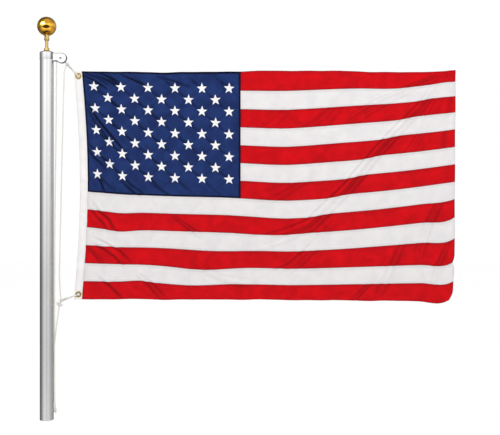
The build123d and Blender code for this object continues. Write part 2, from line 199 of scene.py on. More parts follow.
# Creases as (points across in metres and down in stripes, how many side by side, gap, half width, depth),
# the last three in millimetres. The main band hangs from the fly's top corner.
MAIN_BAND = [(1.48, -0.1), (1.35, 2.4), (1.19, 4.5), (1.06, 6.5), (0.91, 8.4), (0.74, 9.3), (0.62, 9.7)]
PULLS = [
    (MAIN_BAND, 4, 17, 7.5, 2.5),
    ([(1.47, 0.1), (1.33, 0.9), (1.18, 1.9), (1.05, 2.9)], 4, 13, 5.5, 1.8),
    ([(1.49, 0.3), (1.42, 2.4), (1.33, 4.6), (1.27, 5.6)], 3, 14, 6, 1.4),
    ([(1.49, 0.6), (1.46, 3), (1.43, 6)], 2, 12, 6, 1.2),
    ([(1.45, 7.4), (1.39, 8.9), (1.34, 10.6)], 3, 19, 7.5, 2.2),
    ([(1.3, 9.2), (1.24, 10.8), (1.18, 12.6)], 2, 22, 9, 1.8),
    ([(1.47, 9.8), (1.42, 11), (1.4, 12.2)], 2, 17, 7.5, 2),
    ([(1.17, 11.6), (1.11, 12.5), (1.08, 13)], 2, 16, 6.5, 2.2),
    ([(1.08, 0.9), (0.98, 2.4), (0.86, 3.6)], 3, 20, 9, 1.3),
    ([(1, 4.2), (0.9, 5.5), (0.76, 6.6), (0.68, 7)], 3, 22, 9, 1.5),
    ([(0.86, 1.2), (0.78, 2.4), (0.7, 3.2)], 2, 20, 8, 1.1),
    ([(1.01, 8.4), (0.93, 9.6), (0.84, 10.8), (0.74, 11.7)], 3, 19, 8, 1.8),
    ([(0, 7.3), (0.05, 8.1), (0.09, 8.5), (0.12, 9.2)], 2, 24, 7, 3.6),
    ([(0.36, 8), (0.42, 8.6), (0.49, 9.3)], 2, 20, 6, 2.6),
    ([(0.02, 9.5), (0.09, 9.9), (0.14, 10.3), (0.19, 11)], 2, 26, 6.5, 3.5),
    ([(0, 9.9), (0.04, 10.3), (0.08, 10.9)], 2, 14, 5, 3),
    ([(0.06, 11.6), (0.11, 12.1), (0.17, 12.9)], 1, 0, 6, 3.3),
    ([(0.21, 11.4), (0.28, 12), (0.34, 12.9)], 2, 22, 7, 3),
    ([(0.44, 10.3), (0.56, 11.4), (0.7, 11.9)], 2, 20, 9, 1.5),
    ([(0, 0.05), (0.05, 0.35), (0.11, 0.9)], 2, 15, 4.5, 3.2),
    ([(0.05, 0), (0.11, 0.35), (0.16, 0.8)], 2, 15, 4.5, 3.2),
    ([(0.15, 0.05), (0.21, 0.4), (0.27, 0.8)], 1, 0, 5, 3.6),
    ([(0.29, 0.1), (0.36, 0.35), (0.44, 0.75)], 1, 0, 5, 2.2),
    ([(0, 1.6), (0.05, 2.8), (0.11, 3.8), (0.18, 4.9)], 2, 17, 5.5, 3.6),
    ([(0, 4.1), (0.04, 4.8), (0.1, 5.4)], 2, 17, 5, 3.2),
    ([(0.035, 5.7), (0.065, 6.3), (0.085, 7)], 1, 0, 5.5, 3.8),
    ([(0.15, 6), (0.2, 6.5), (0.25, 7)], 2, 17, 5, 2.8),
    ([(0.26, 6.1), (0.32, 6.6), (0.37, 7)], 1, 0, 5, 2.6),
]


def make_creases():
    """The single creases: each pull is several lines side by side that fan out and differ in depth."""
    dice = random.Random(5)
    creases = []
    for points, count, gap, half_width, depth in PULLS:
        line = np.array(points) * (1, STRIPE_HEIGHT)
        run = unit_rows(np.gradient(line, axis=0))
        aside = np.stack([-run[:, 1], run[:, 0]], axis=1)
        spread = np.linspace(0.7, 1.3, len(line))[:, None]
        for number in range(count):
            shift = (number - (count - 1) / 2 + dice.uniform(-0.2, 0.2)) * gap * MM
            strength = depth * dice.uniform(0.9, 1.6) * MM
            width = half_width * dice.uniform(0.8, 1.2) * MM
            creases.append((line + aside * shift * spread, width, strength))
    return creases


CREASES = make_creases()


def near_line(line, across, down):
    """For each place: its distance from a line, signed by side, and its share of the line's length."""
    steps = np.diff(line, axis=0)
    lengths = np.linalg.norm(steps, axis=1)
    starts = np.concatenate([[0], np.cumsum(lengths)]) / lengths.sum()
    reach = np.full(across.shape, 1e9)
    place = np.zeros(across.shape)
    for (x0, z0), (dx, dz), length, start, end in zip(line, steps, lengths, starts, starts[1:]):
        t = np.clip(((across - x0) * dx + (down - z0) * dz) / length**2, 0, 1)
        away_x, away_z = across - x0 - t * dx, down - z0 - t * dz
        away = np.hypot(away_x, away_z) * np.where(away_x * dz - away_z * dx < 0, -1, 1)
        closer = np.abs(away) < np.abs(reach)
        reach = np.where(closer, away, reach)
        place = np.where(closer, start + t * (end - start), place)
    return reach, place


def crease_profile(across, down):
    """How far the creases push the cloth back, and how much painted shade each place gets beside them, from 0
    to 1.
    """
    depth, shade = np.zeros(across.shape), np.zeros(across.shape)
    for line, half_width, height in CREASES:
        away, place = near_line(line, across, down)
        away = away / half_width * (1 if line[-1][0] < line[0][0] else -1)
        taper = np.sin(np.pi * np.clip(place, 0.0, 1.0)) ** 0.6
        depth += 0.6 * height * taper * (0.55 * hump(away, 1.5, 1) - hump(away, 0, 1))
        shade = np.maximum(shade, taper * height / DARKEST_FOLD * hump(away, 1.2, 0.9))
    return depth, np.clip(shade, 0, 1)


def band_step(across, down):
    """How far the main band lifts the cloth on its fly side, which kinks the seams that it crosses."""
    away, place = near_line(np.array(MAIN_BAND) * (1, STRIPE_HEIGHT), across, down)
    return BAND_STEP * np.tanh(away / 0.028) * hump(away, 0, 0.11) * np.sin(np.pi * place) ** 0.5


def pucker_profile(across, down):
    """The quilting of the canton, drawn in along the lines that join the sewn stars: depth and shade."""
    column = (across - STAR_MARGIN) / STAR_STEP
    row = (down - STAR_TOP) / STAR_ROW
    line_gap = 2 * STAR_STEP * STAR_ROW / math.hypot(STAR_STEP, STAR_ROW)
    depth, shade = np.zeros(across.shape), np.zeros(across.shape)
    uneven = 0.75 + 0.25 * np.sin(across * 23 + down * 41) * np.sin(across * 37 - down * 29 + 1.0)
    at_hoist = np.clip(1.2 - across / CANTON_LENGTH, 0, 1)
    for slope, strong in (((column - row) / 2, 0.45 + 0.55 * at_hoist), ((column + row) / 2, 0.22)):
        away = (slope - np.round(slope)) * line_gap / (5.5 * MM)
        depth += strong * uneven * QUILTING * hump(away, 0, 1)
        shade = np.maximum(shade, strong * uneven * 1.05 * hump(away, -0.3, 1))
    inside = np.clip(np.minimum(across, CANTON_LENGTH - across) / 0.04, 0, 1)
    inside *= np.clip(np.minimum(down, CANTON_STRIPES * STRIPE_HEIGHT - down) / 0.04, 0, 1)
    return depth * inside, np.clip(shade * inside, 0, 1)


def fold_shade(across, down):
    """How much painted shade each place gets in the creases and the quilting, from 0 to 1."""
    return np.maximum(crease_profile(across, down)[1], pucker_profile(across, down)[1])


def scallops(share, along):
    """Small rises and dips of the long edges, which are drawn in by their stitching."""
    edge = hump(share, 0, 0.03) + hump(share, 1, 0.03)
    ripple = np.sin(along * 34 + 0.6) + 0.6 * np.sin(along * 57 + 2.1) + 0.4 * np.sin(along * 91)
    return -0.8 * MM * (1 + ripple) * edge * np.clip(np.minimum(along, 1 - along) / 0.06, 0, 1)


def cloth_places(across, down):
    """Places of the cloth, as rows of X, Y and Z."""
    along, share = across / FLAG_LENGTH, down / FLAG_HEIGHT
    x = FLAG_HOIST + FLAG_LENGTH * along
    x = x + (hoist_x(share) - FLAG_HOIST) * np.maximum(1 - along / 0.25, 0) ** 2
    x = x + (fly_x(share) - FLAG_HOIST - FLAG_LENGTH) * past(along, 0.5, 0.5) ** 2
    flat_end = FLAG_HOIST + HEADER_BOW
    course = (x - flat_end) / (FLAG_HOIST + FLAG_LENGTH - flat_end)
    calm = np.clip(along / 0.03, 0, 1) ** 1.5
    creased = crease_profile(across, down)[0] * calm
    y = wave(course) + creased + pucker_profile(across, down)[0] * calm
    y = y + HEM_CURL * hump(across, FLAG_LENGTH, SEAM_BAND) * np.sin(share * 23)
    z = FLAG_TOP - down + seam_lift(share, along) + scallops(share, along)
    z = z + band_step(across, down) + 0.4 * creased
    return np.stack([x, y, z], axis=-1)


def cloth_normals(across, down):
    """Normals of the cloth, towards the front."""
    step = 0.5 * MM
    right = cloth_places(across + step, down) - cloth_places(across - step, down)
    up = cloth_places(across, down - step) - cloth_places(across, down + step)
    return unit_rows(np.cross(right, up))


# Helpers for meshes

def polar(radius, angle, height=0.0):
    return Vector((radius * math.cos(angle), radius * math.sin(angle), height))


def add_object(name, data):
    item = bpy.data.objects.new(name, data)
    bpy.context.scene.collection.objects.link(item)
    return item


def mesh_from(bm, name):
    mesh = bpy.data.meshes.new(name)
    bm.to_mesh(mesh)
    bm.free()
    return mesh


def finish_piece(name, mesh, material, body=MAST, smooth=True):
    """Links a mesh as a piece that rides on a body, with its material."""
    mesh.polygons.foreach_set("use_smooth", [smooth] * len(mesh.polygons))
    mesh.materials.clear()
    mesh.materials.append(material)
    piece = add_object(name, mesh)
    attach(piece, body)
    return piece


def smooth_copy(node, material, body=MAST):
    """A copy of a solid with its triangles joined, so that its round faces shade as round."""
    bm = bmesh.new()
    bm.from_mesh(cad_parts[node].data)
    bmesh.ops.remove_doubles(bm, verts=bm.verts, dist=1e-6)
    mesh = mesh_from(bm, f"{node}_surface")
    piece = finish_piece(f"{node}_surface", mesh, material, body)
    mesh.set_sharp_from_angle(angle=SHARP_ANGLE)
    # Broad faces keep their own normals, so that only the rounded edges turn the light.
    piece.modifiers.new("weights", "WEIGHTED_NORMAL").keep_sharp = True
    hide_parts(node)
    return piece


def smooth_line(corners):
    """Points read from the smooth line that has a route's corners as its control points."""
    curve = bpy.data.curves.new("route", "CURVE")
    curve.dimensions = "3D"
    spline = curve.splines.new("NURBS")
    spline.points.add(len(corners) - 1)
    for point, corner in zip(spline.points, corners):
        point.co = (*corner, 1.0)
    spline.order_u = 3
    spline.use_endpoint_u = True
    spline.resolution_u = 48
    holder = add_object("route", curve)
    bpy.context.view_layer.update()
    mesh = bpy.data.meshes.new_from_object(holder.evaluated_get(bpy.context.evaluated_depsgraph_get()))
    points = [vert.co.copy() for vert in mesh.vertices]
    bpy.data.objects.remove(holder)
    bpy.data.meshes.remove(mesh)
    return points


def add_tube(bm, points, radius):
    """Adds a rope along a line: a grid wrapped round it, with the braid's crossed strands raised."""
    line = np.array([tuple(point) for point in points])
    steps = np.linalg.norm(np.diff(line, axis=0), axis=1)
    keep = np.concatenate([[True], steps > 1e-7])
    line = line[keep]
    reach = np.concatenate([[0], np.cumsum(np.linalg.norm(np.diff(line, axis=0), axis=1))])
    rings = max(int(reach[-1] / RING_GAP), 4)
    stations = np.linspace(0, reach[-1], rings + 1)
    centres = np.stack([np.interp(stations, reach, line[:, axis]) for axis in range(3)], axis=1)
    runs = unit_rows(np.gradient(centres, axis=0))
    side = np.cross(runs[0], (0.0, 0.0, 1.0) if abs(runs[0][2]) < 0.9 else (1.0, 0.0, 0.0))
    frames = []
    for run in runs:
        side = side - run * np.dot(side, run)
        side /= np.linalg.norm(side)
        frames.append((side, np.cross(run, side)))
    grid = bmesh.ops.create_grid(bm, x_segments=rings, y_segments=ROPE_SIDES, size=0.5)
    uv = bm.loops.layers.uv.verify()
    places = {}
    for vert in grid["verts"]:
        places[vert] = (round((vert.co.x + 0.5) * rings), round((vert.co.y + 0.5) * ROPE_SIDES))
    for face in {face for vert in grid["verts"] for face in vert.link_faces}:
        for loop in face.loops:
            ring, turn = places[loop.vert]
            loop[uv].uv = (stations[ring], turn / ROPE_SIDES * 2 * math.pi * radius)
    for vert, (ring, turn) in places.items():
        angle = 2 * math.pi * turn / ROPE_SIDES
        twist = 2 * math.pi / STRAND_PITCH * stations[ring]
        cross = math.sin((twist + STRANDS * angle) / 2) * math.sin((twist - STRANDS * angle) / 2)
        out = radius + STRAND_RELIEF * (1.6 * abs(cross) - 1)
        one, two = frames[ring]
        vert.co = Vector(centres[ring] + out * (math.cos(angle) * one + math.sin(angle) * two))
    bmesh.ops.remove_doubles(bm, verts=list(places), dist=0.5e-5)
    ends = [edge for edge in bm.edges if edge.is_boundary]
    bmesh.ops.holes_fill(bm, edges=ends, sides=0)


def rope_mesh(name, lines, radius):
    bm = bmesh.new()
    for points in lines:
        add_tube(bm, points, radius)
    bmesh.ops.recalc_face_normals(bm, faces=bm.faces)
    return mesh_from(bm, name)


# Materials

def add_node(tree, kind, settings=None, inputs=None):
    """Adds a node, sets its properties and sockets, and links the sockets that are given outputs."""
    node = tree.nodes.new(f"ShaderNode{kind}")
    for name, value in (settings or {}).items():
        setattr(node, name, value)
    for name, value in (inputs or {}).items():
        if isinstance(value, bpy.types.NodeSocket):
            tree.links.new(value, node.inputs[name])
        else:
            node.inputs[name].default_value = value
    return node


def new_material(name, **sockets):
    """A material with its shader's sockets set, and its tree and shader for what else it needs."""
    material = bpy.data.materials.new(name)
    material.use_nodes = True
    tree = material.node_tree
    shader = tree.nodes["Principled BSDF"]
    for socket, value in sockets.items():
        shader.inputs[socket.replace("_", " ")].default_value = value
    return material, tree, shader


def add_maths(tree, operation, *values):
    """The result of a sum, product or other operation on numbers and sockets."""
    node = add_node(tree, "Math", {"operation": operation})
    for socket, value in zip(node.inputs, values):
        if isinstance(value, bpy.types.NodeSocket):
            tree.links.new(value, socket)
        else:
            socket.default_value = value
    return node.outputs["Value"]


def ranged(tree, value, low, high, to_low=0.0, to_high=1.0):
    """A value's place between two limits, given as a number between two others."""
    return add_node(tree, "MapRange", inputs={
        "Value": value, "From Min": low, "From Max": high,
        "To Min": to_low, "To Max": to_high}).outputs["Result"]


def uv_map(tree, name):
    return add_node(tree, "UVMap", {"uv_map": name}).outputs["UV"]


def parts(tree, vector):
    return add_node(tree, "SeparateXYZ", inputs={"Vector": vector}).outputs


def noise(tree, vector, scale, detail, **more):
    return add_node(tree, "TexNoise", inputs={
        "Vector": vector, "Scale": scale, "Detail": detail, **more}).outputs["Fac"]


def threads(tree, vector, direction, gap, **more):
    """Threads side by side: a wave texture's own scale gives 20 / (2 pi) bands to the metre."""
    return add_node(tree, "TexWave", {"bands_direction": direction}, {
        "Vector": vector, "Scale": 2 * math.pi / 20 / gap, **more}).outputs["Fac"]


def blend_colours(tree, factor, low, high):
    """The colour between two others; each may be a hex value or a socket."""
    mix = add_node(tree, "Mix", {"data_type": "RGBA"}, {"Factor": factor})
    for index, colour in ((6, low), (7, high)):
        if isinstance(colour, str):
            mix.inputs[index].default_value = linear(colour)
        else:
            tree.links.new(colour, mix.inputs[index])
    return mix.outputs[2]


def dress(tree, shader, colour, height, relief, rough=None):
    """Links a shader's colour, raised detail and gloss."""
    bump = add_node(tree, "Bump", inputs={"Height": height, "Strength": 1.0, "Distance": relief})
    for socket, value in (("Base Color", colour), ("Normal", bump.outputs["Normal"]), ("Roughness", rough)):
        if value is not None:
            tree.links.new(value, shader.inputs[socket])


def drawn_aluminium(name, colour, dull, roughness):
    """Tube drawn through a die and clear anodised: satin, with faint lines along its length."""
    material, tree, shader = new_material(name, Metallic=1.0)
    place = add_node(tree, "TexCoord").outputs["Object"]
    # Die lines are about 0.1 mm apart; they are drawn 1.5 mm apart so that they show.
    # Handling leaves cloudy dull places some 60 mm across.
    across, along = 1 / (1.5 * MM), 1 / (600 * MM)
    lines_at, clouds_at = (
        add_node(tree, "Mapping", inputs={"Vector": place, "Scale": scale}).outputs["Vector"]
        for scale in ((across, across, along), (16.0, 16.0, 5.0)))
    lines = noise(tree, lines_at, 1.0, 4.0, Roughness=0.6)
    clouds = noise(tree, clouds_at, 1.0, 5.0)
    rough = ranged(tree, add_maths(tree, "ADD", lines, clouds), 0.7, 1.3, roughness - 0.05, roughness + 0.07)
    dress(tree, shader, blend_colours(tree, lines, dull, colour), lines, 0.02 * MM, rough)
    return material


def grained_metal(name, colour, dull, roughness, grain_mm, relief_mm, uneven=1.0):
    """Cast, turned, stamped or plated metal: a fine even grain in its gloss and a few dull places."""
    material, tree, shader = new_material(name, Metallic=1.0)
    place = add_node(tree, "TexCoord").outputs["Object"]
    grain = noise(tree, place, 1 / (grain_mm * MM), 3.0)
    clouds = noise(tree, place, 70.0, 4.0)
    rough = ranged(tree, clouds, 0.35, 0.7, roughness - 0.03 * uneven, roughness + 0.07 * uneven)
    dress(tree, shader, blend_colours(tree, clouds, dull, colour), grain, relief_mm * MM, rough)
    return material


def cast_aluminium(name, colour, dull, painted_shade_colour):
    """Cast aluminium ground bright on its faces, with painted shade on the arm's lower edges, beside it and
    underneath.
    """
    material = grained_metal(name, colour, dull, 0.12, 0.9, 0.004)
    tree = material.node_tree
    base = tree.nodes["Principled BSDF"].inputs["Base Color"]
    maths = partial(add_maths, tree)
    place = add_node(tree, "TexCoord").outputs
    facing = parts(tree, place["Normal"])
    # Painted shade: the arm's rounded edges darken as they turn down, the cap darkens on its side by the arm,
    # and all undersides darken.
    on_arm = maths("GREATER_THAN", parts(tree, place["Object"])["X"], 1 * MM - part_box("truck")[0].x)
    rounded = ranged(tree, maths("ABSOLUTE", facing["Y"]), 0.985, 0.9)
    edges = maths("MULTIPLY", maths("MULTIPLY", rounded, ranged(tree, facing["Z"], 0.8, 0.3)), on_arm)
    corner = maths("MULTIPLY", ranged(tree, facing["X"], 0.66, 0.86), maths("SUBTRACT", 1.0, on_arm))
    underside = ranged(tree, facing["Z"], -0.3, -0.7)
    dark = maths("MULTIPLY", maths("MAXIMUM", maths("MAXIMUM", edges, corner), underside), 0.95)
    tree.links.new(blend_colours(tree, dark, base.links[0].from_socket, painted_shade_colour), base)
    return material


def moulded_nylon(name):
    """Moulded nylon: off-white and waxy, with a light mould texture."""
    material, tree, shader = new_material(name, Roughness=0.42, IOR=1.53)
    clouds = noise(tree, add_node(tree, "TexCoord").outputs["Object"], 260.0, 3.0)
    dress(tree, shader, blend_colours(tree, clouds, "#C9C5BA", "#DDD9CE"), clouds, 0.03 * MM)
    return material


def sewn_cloth(name, dyes_and_shade, painted_crease_share, edge_mm, rumple_mm=0.45, thread_mm=1.1, rows=(2.0, 7.6)):
    """Woven cloth, dyed and sewn: a plain weave, uneven dye, fine rumples, its stitch rows and painted shade.

    Its colours are its dye, a faded dye, that of its seams' layers, which also gives the painted shade at its
    folded edges and in its creases, and that of its thread. The threads of 200 denier nylon are 0.35 mm apart
    and those of heavy duck 0.8 mm; they are drawn 1.1 and 1.3 mm apart so that they show.
    """
    colour, faded, seam_and_shade_colour, thread_colour = dyes_and_shade
    material, tree, shader = new_material(
        name, Roughness=0.8, Specular_IOR_Level=0.15, Sheen_Weight=0.01, Sheen_Roughness=0.4)
    maths = partial(add_maths, tree)
    cloth, seam = uv_map(tree, "cloth"), parts(tree, uv_map(tree, "seams"))
    along, from_edge = seam["X"], seam["Y"]

    twist = {"Distortion": 0.8, "Detail": 1.0, "Detail Scale": 0.3}
    weave = maths("ADD", *(threads(tree, cloth, way, thread_mm * MM, **twist) for way in ("X", "Y")))
    coarse = noise(tree, cloth, 20.0, 3.0, Distortion=0.5)
    fine = noise(tree, cloth, 110.0, 4.0, Distortion=0.4)
    rumples = maths("MULTIPLY", maths("ADD", coarse, maths("MULTIPLY", fine, 0.25)), rumple_mm * MM)
    # Stitches are 2.6 mm long; the thread is drawn 0.7 mm thick so that it shows.
    stitched = 0.0
    for row in rows:
        stitched = maths("ADD", maths("COMPARE", from_edge, row * MM, STITCH_HALF_WIDTH), stitched)
    dash = maths("GREATER_THAN", maths("SINE", maths("MULTIPLY", along, 2 * math.pi / STITCH_LENGTH)), -0.55)
    stitch = maths("MULTIPLY", stitched, dash)
    height = maths("ADD", maths("ADD", maths("MULTIPLY", weave, 0.05 * MM), rumples),
                   maths("MULTIPLY", stitch, 0.25 * MM))

    # The dye is uneven and darker on the seams' layers. Along the folded edges the darkening is partly
    # the seams' own layers and thread and partly painted shade; in the creases it is painted shade.
    tint = blend_colours(tree, ranged(tree, coarse, 0.35, 0.65), faded, colour)
    # Painted shade in the creases and the quilting, which each point of the cloth carries.
    depth = add_node(tree, "Attribute", {"attribute_name": "fold"}).outputs["Fac"]
    for share, laid in (
            (maths("MULTIPLY", maths("LESS_THAN", from_edge, SEAM_BAND), 0.12), seam_and_shade_colour),
            (maths("MULTIPLY", stitch, 0.6), thread_colour),
            (ranged(tree, from_edge, 0.6 * edge_mm * MM, edge_mm * MM, 0.92, 0.0), seam_and_shade_colour),
            (maths("MULTIPLY", depth, painted_crease_share), seam_and_shade_colour)):
        tint = blend_colours(tree, share, tint, laid)
    dress(tree, shader, tint, height, 1.0)
    return material


def embroidery(name):
    """Satin stitch in polyester thread: close threads across each arm that catch the light."""
    material, tree, shader = new_material(name, Roughness=0.5, Sheen_Weight=0.2, Sheen_Roughness=0.3)
    # Threads lie 0.4 mm apart; they are drawn 0.9 mm apart so that they show.
    stitches = threads(tree, uv_map(tree, "stitches"), "X", 0.9 * MM, Distortion=0.5)
    dress(tree, shader, blend_colours(tree, stitches, "#F3F3F3", "#FFFFFF"), stitches, 0.12 * MM)
    return material


def braided_polyester(name):
    """Braided polyester line: white, with soft grey between its strands."""
    material, tree, shader = new_material(name, Roughness=0.72, Sheen_Weight=0.15)
    place = uv_map(tree, "UVMap")
    yarn = noise(tree, place, 900.0, 3.0)
    white = blend_colours(tree, yarn, "#DFDDD6", "#F7F6F0")
    soil = ranged(tree, noise(tree, place, 14.0, 4.0), 0.4, 0.75, 0.0, 0.25)
    dress(tree, shader, blend_colours(tree, soil, white, "#DDD8CB"), yarn, 0.15 * MM)
    return material


# Cloth pieces

def row_places(height, gap):
    """Rows of a stripe's grid: close at its seams, where the layers step, and even between them."""
    edge = [0.0, 1.0 * MM, 4.5 * MM, SEAM_BAND - 0.6 * MM, SEAM_BAND + 0.6 * MM]
    count = max(round((height - 2 * edge[-1]) / gap), 1)
    middle = list(np.linspace(edge[-1], height - edge[-1], count + 1))
    return edge[:-1] + middle + [height - place for place in reversed(edge[:-1])]


def cloth_grid(columns, rows):
    """A flat grid to be laid as cloth, with each of its points' places across and down."""
    bm = bmesh.new()
    bmesh.ops.create_grid(bm, x_segments=len(columns) - 1, y_segments=len(rows) - 1, size=0.5)
    bm.verts.ensure_lookup_table()
    column = [round((vert.co.x + 0.5) * (len(columns) - 1)) for vert in bm.verts]
    row = [round((0.5 - vert.co.y) * (len(rows) - 1)) for vert in bm.verts]
    return bm, columns[column], rows[row]


def write_maps(bm, across, down, from_side, from_seam):
    """Writes the cloth's own map, and one that gives the place along the nearest edge and away from it."""
    uv, seams = bm.loops.layers.uv.new("cloth"), bm.loops.layers.uv.new("seams")
    for face in bm.faces:
        beside = sum(from_side[loop.vert.index] for loop in face.loops) \
            < sum(from_seam[loop.vert.index] for loop in face.loops)
        for loop in face.loops:
            index = loop.vert.index
            loop[uv].uv = (across[index], down[index])
            loop[seams].uv = (down[index], from_side[index]) if beside else (across[index], from_seam[index])


def add_layers(piece, thickness):
    """Gives a piece its thickness, as the share that its vertex group says."""
    group = piece.vertex_groups.new(name="layers")
    solid = piece.modifiers.new("thickness", "SOLIDIFY")
    solid.thickness = thickness
    solid.offset = 0
    solid.vertex_group = group.name
    return group


def cloth_piece(node, material, first, last, left, right, gap=CLOTH_STEP):
    """A piece of the flag between two seams, with the thickness of its layers along them."""
    name = f"{node}_cloth"
    columns = np.array(row_places(right - left, gap)) + left
    rows = np.array(row_places((last - first) * STRIPE_HEIGHT, gap)) + first * STRIPE_HEIGHT
    bm, across, down = cloth_grid(columns, rows)
    from_side = np.minimum(across - left, right - across)
    from_seam = np.minimum(down - rows[0], rows[-1] - down)
    write_maps(bm, across, down, from_side, from_seam)
    # Each point also carries the painted shade of the creases and the quilting at its place.
    fold = bm.verts.layers.float.new("fold")
    for vert, place, shade in zip(bm.verts, cloth_places(across, down), fold_shade(across, down)):
        vert.co = Vector(place)
        vert[fold] = shade
    piece = finish_piece(name, mesh_from(bm, name), material)
    group = add_layers(piece, bpy.context.scene.flagpole_sizes.seam_thickness)
    near = np.minimum(from_side, from_seam)
    for weight, chosen in ((0.55, near < 0.5 * MM), (1.0, (near > 0.5 * MM) & (near < SEAM_BAND)),
                           (0.4, near > SEAM_BAND)):
        group.add([int(index) for index in np.flatnonzero(chosen)], weight, "REPLACE")
    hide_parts(node)


def star_blank(radius):
    """One flat star, point up, with its arms' ridges raised, cut fine enough to follow the cloth."""
    bm = bmesh.new()
    made = bmesh.ops.create_circle(bm, cap_ends=True, cap_tris=True, segments=10, radius=radius)
    for vert in made["verts"]:
        if vert.co.length < radius / 2:
            vert.co.z = STAR_RIDGE
            continue
        turn = round((math.atan2(vert.co.y, vert.co.x) - math.pi / 2) / (math.pi / 5))
        reach = radius * (STAR_INNER_SHARE if turn % 2 else 1)
        vert.co = polar(reach, math.pi / 2 + turn * math.pi / 5, STAR_RIM)
    bmesh.ops.subdivide_edges(bm, edges=bm.edges, cuts=2, use_grid_fill=True)
    stitches = bm.loops.layers.uv.new("stitches")
    for face in bm.faces:
        centre = face.calc_center_median()
        arm = round((math.atan2(centre.y, centre.x) - math.pi / 2) / (math.pi * 0.4))
        axis = polar(1, math.pi / 2 + arm * math.pi * 0.4).xy
        for loop in face.loops:
            flat = loop.vert.co.xy
            loop[stitches].uv = (flat.dot(axis), flat.x * axis.y - flat.y * axis.x)
    rim = bmesh.ops.extrude_edge_only(bm, edges=[edge for edge in bm.edges if edge.is_boundary])
    for vert in rim["geom"]:
        if isinstance(vert, bmesh.types.BMVert):
            vert.co.z = 0.0
    return mesh_from(bm, "star_blank")


def stars_piece(name, material, side):
    """The fifty embroidered stars on one face of the canton, which follow its cloth."""
    radius = bpy.context.scene.flagpole_sizes.star_radius
    blank = star_blank(radius)
    dice = random.Random(3)
    bm = bmesh.new()
    places = []
    for row in range(STAR_ROWS):
        for number in range(6 - row % 2):
            centre = (STAR_MARGIN + STAR_STEP * (2 * number + row % 2), STAR_TOP + STAR_ROW * row)
            turn = Matrix.Rotation(dice.uniform(-0.07, 0.07), 3, "Z")
            before = len(bm.verts)
            bm.from_mesh(blank)
            bm.verts.ensure_lookup_table()
            for vert in bm.verts[before:]:
                flat = turn @ vert.co
                places.append((centre[0] + flat.x, centre[1] - flat.y, flat.z))
    across, down, height = np.array(places).T
    lifted = cloth_places(across, down) + cloth_normals(across, down) * height[:, None] * side
    for vert, place in zip(bm.verts, lifted):
        vert.co = Vector(place)
    if side < 0:
        bmesh.ops.reverse_faces(bm, faces=bm.faces)
    bpy.data.meshes.remove(blank)
    return finish_piece(name, mesh_from(bm, name), material, smooth=False)


def grommet_places():
    """The centres of the top and the bottom grommet."""
    return [
        Vector((hoist_x(down / FLAG_HEIGHT) - HEADER_WIDTH / 2, 0, FLAG_TOP - down))
        for down in (GROMMET_EDGE, FLAG_HEIGHT - GROMMET_EDGE)]


def header_piece(material):
    """The canvas band: folded edges a little thinner than its middle, open under each grommet."""
    columns = np.array([0, 1.2, 4.4, 7.6, 11.5, 15.5, 19.5, 23.4, 26.6, 29.8, 31]) * MM
    bm, across, down = cloth_grid(columns, np.linspace(0, FLAG_HEIGHT, 301))
    from_edge = np.minimum(across, HEADER_WIDTH - across)
    write_maps(bm, across, down, from_edge, np.full(len(across), HEADER_WIDTH))
    share = down / FLAG_HEIGHT
    still = np.sin(np.pi * share) ** 0.5
    ripple = (0.5 * np.sin(share * 61 + across * 40) + 0.35 * np.sin(share * 143 + 1.0)) * MM * still
    x = hoist_x(share) - HEADER_WIDTH + across + 0.35 * MM * np.sin(share * 97) * still
    for vert, place in zip(bm.verts, np.stack([x, ripple, FLAG_TOP - down], axis=1)):
        vert.co = Vector(place)
    holes = grommet_places()
    under = [face for face in bm.faces if any(
        (face.calc_center_median() - hole).xz.length < UNDER_GROMMET for hole in holes)]
    layers = bm.verts.layers.deform.verify()
    for vert in bm.verts:
        vert[layers][0] = 0.6 if from_edge[vert.index] < 0.5 * MM else 1.0
    bmesh.ops.delete(bm, geom=under, context="FACES")
    piece = finish_piece("header_band", mesh_from(bm, "header_band"), material)
    add_layers(piece, HEADER_THICKNESS)
    return piece


# Rope: the routes of the solid model, in millimetres, with X and Y from the pole's axis and Z
# from the foot, the sheave or a knot.

FREE_FALL_FOOT = [(33.6, 2.7, 47), (31.6, 3.2, 66), (30.6, 3.6, 100), (30.4, 3.2, 165), (30.3, 3.7, 290)]
FREE_FALL_TOP = [
    (30.7, 2.9, -928), (31.4, 3.1, -688), (34.6, 1.8, -458), (37.3, 1.0, -288), (38.5, 0.4, -163),
    (39.2, 0.2, -88), (39.3, 0.1, -48), (39.5, 0, -23),
]
FLAG_FALL_TOP = [
    (78.5, 0, -4.5), (73.2, -0.2, -17.5), (70.2, -0.4, -39.5), (68.7, -0.2, -80.5), (66.8, 0.3, -145.5),
    (64.3, 0.2, -245.5), (61.0, -0.4, -385.5), (58.2, -0.2, -525.5),
]
FLAG_FALL_FOOT = [(54.2, 0.3, 279.5), (51.6, 0.2, 169.5), (50.9, 0, 94.5), (53.2, -0.1, 49.5), (57.0, 0, 18)]
TAIL_FALL_TOP = [(49.3, 0, -18.5), (47.4, -0.2, -38.5), (42.8, -1.2, -70.5), (36.6, -2.6, -120.5)]
TAIL_FALL_FOOT = [(31.3, -3.2, 290), (30.4, -3.4, 200), (30.6, -3.2, 120), (31.2, -3.5, 78), (33.6, -2.7, 47)]
ROPE_TURN_RADIUS = 17.3 * MM
UPPER_KNOT = SHEAVE_CENTRE + Vector((25.2, 0, -23)) * MM
FOOT_KNOT = Vector((33.8, 0, 38)) * MM
KNOT_RADIUS = 7 * MM
KNOT_LENGTH = 17 * MM
KNOT_SEAT = 2.5 * MM
STRAND_OFFSET = 6.0 * MM
STRAND_SPREAD = 3.2 * MM
STRAND_SKEW = 3.0 * MM
HOLE_APPROACH = 9 * MM
LOWER_KNOT_FROM_HOLE = Vector((-72.5, 0, -31.5)) * MM
